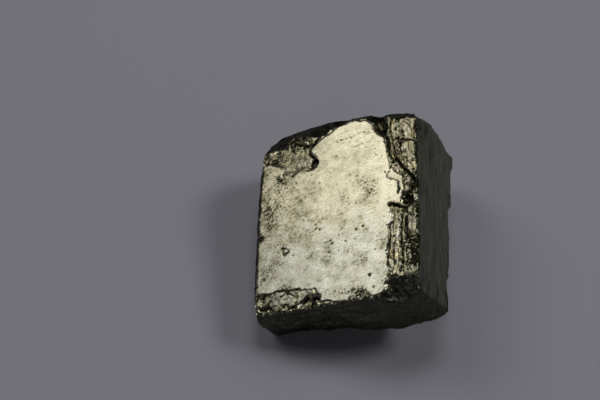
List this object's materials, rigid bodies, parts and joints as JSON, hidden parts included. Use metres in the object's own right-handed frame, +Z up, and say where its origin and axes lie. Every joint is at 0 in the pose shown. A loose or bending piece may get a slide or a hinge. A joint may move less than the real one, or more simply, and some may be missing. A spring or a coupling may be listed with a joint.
{
  "type": "pyrite crystal specimen",
  "caption": "Broken cubic crystal of pyrite with a bright striated top face, worn edges and chipped corners, leaning on a rough break underneath.",
  "frame": {"origin": "on the surface that the crystal rests on, under the middle of its bounding box", "axes": "+Z up as it lies; +X towards its high right side; +Y away from its low front face, along its top face's longer edges"},
  "size_m": [0.0306, 0.0332, 0.0213],
  "materials": {
    "pyrite": "metallic lustre: mirror-like pale brass on the sound faces, grey and granular where worn, near black in the pits and on the chips"
  },
  "bodies": {
    "root": {"pyrite_crystal": "pyrite"}
  },
  "joints": []
}
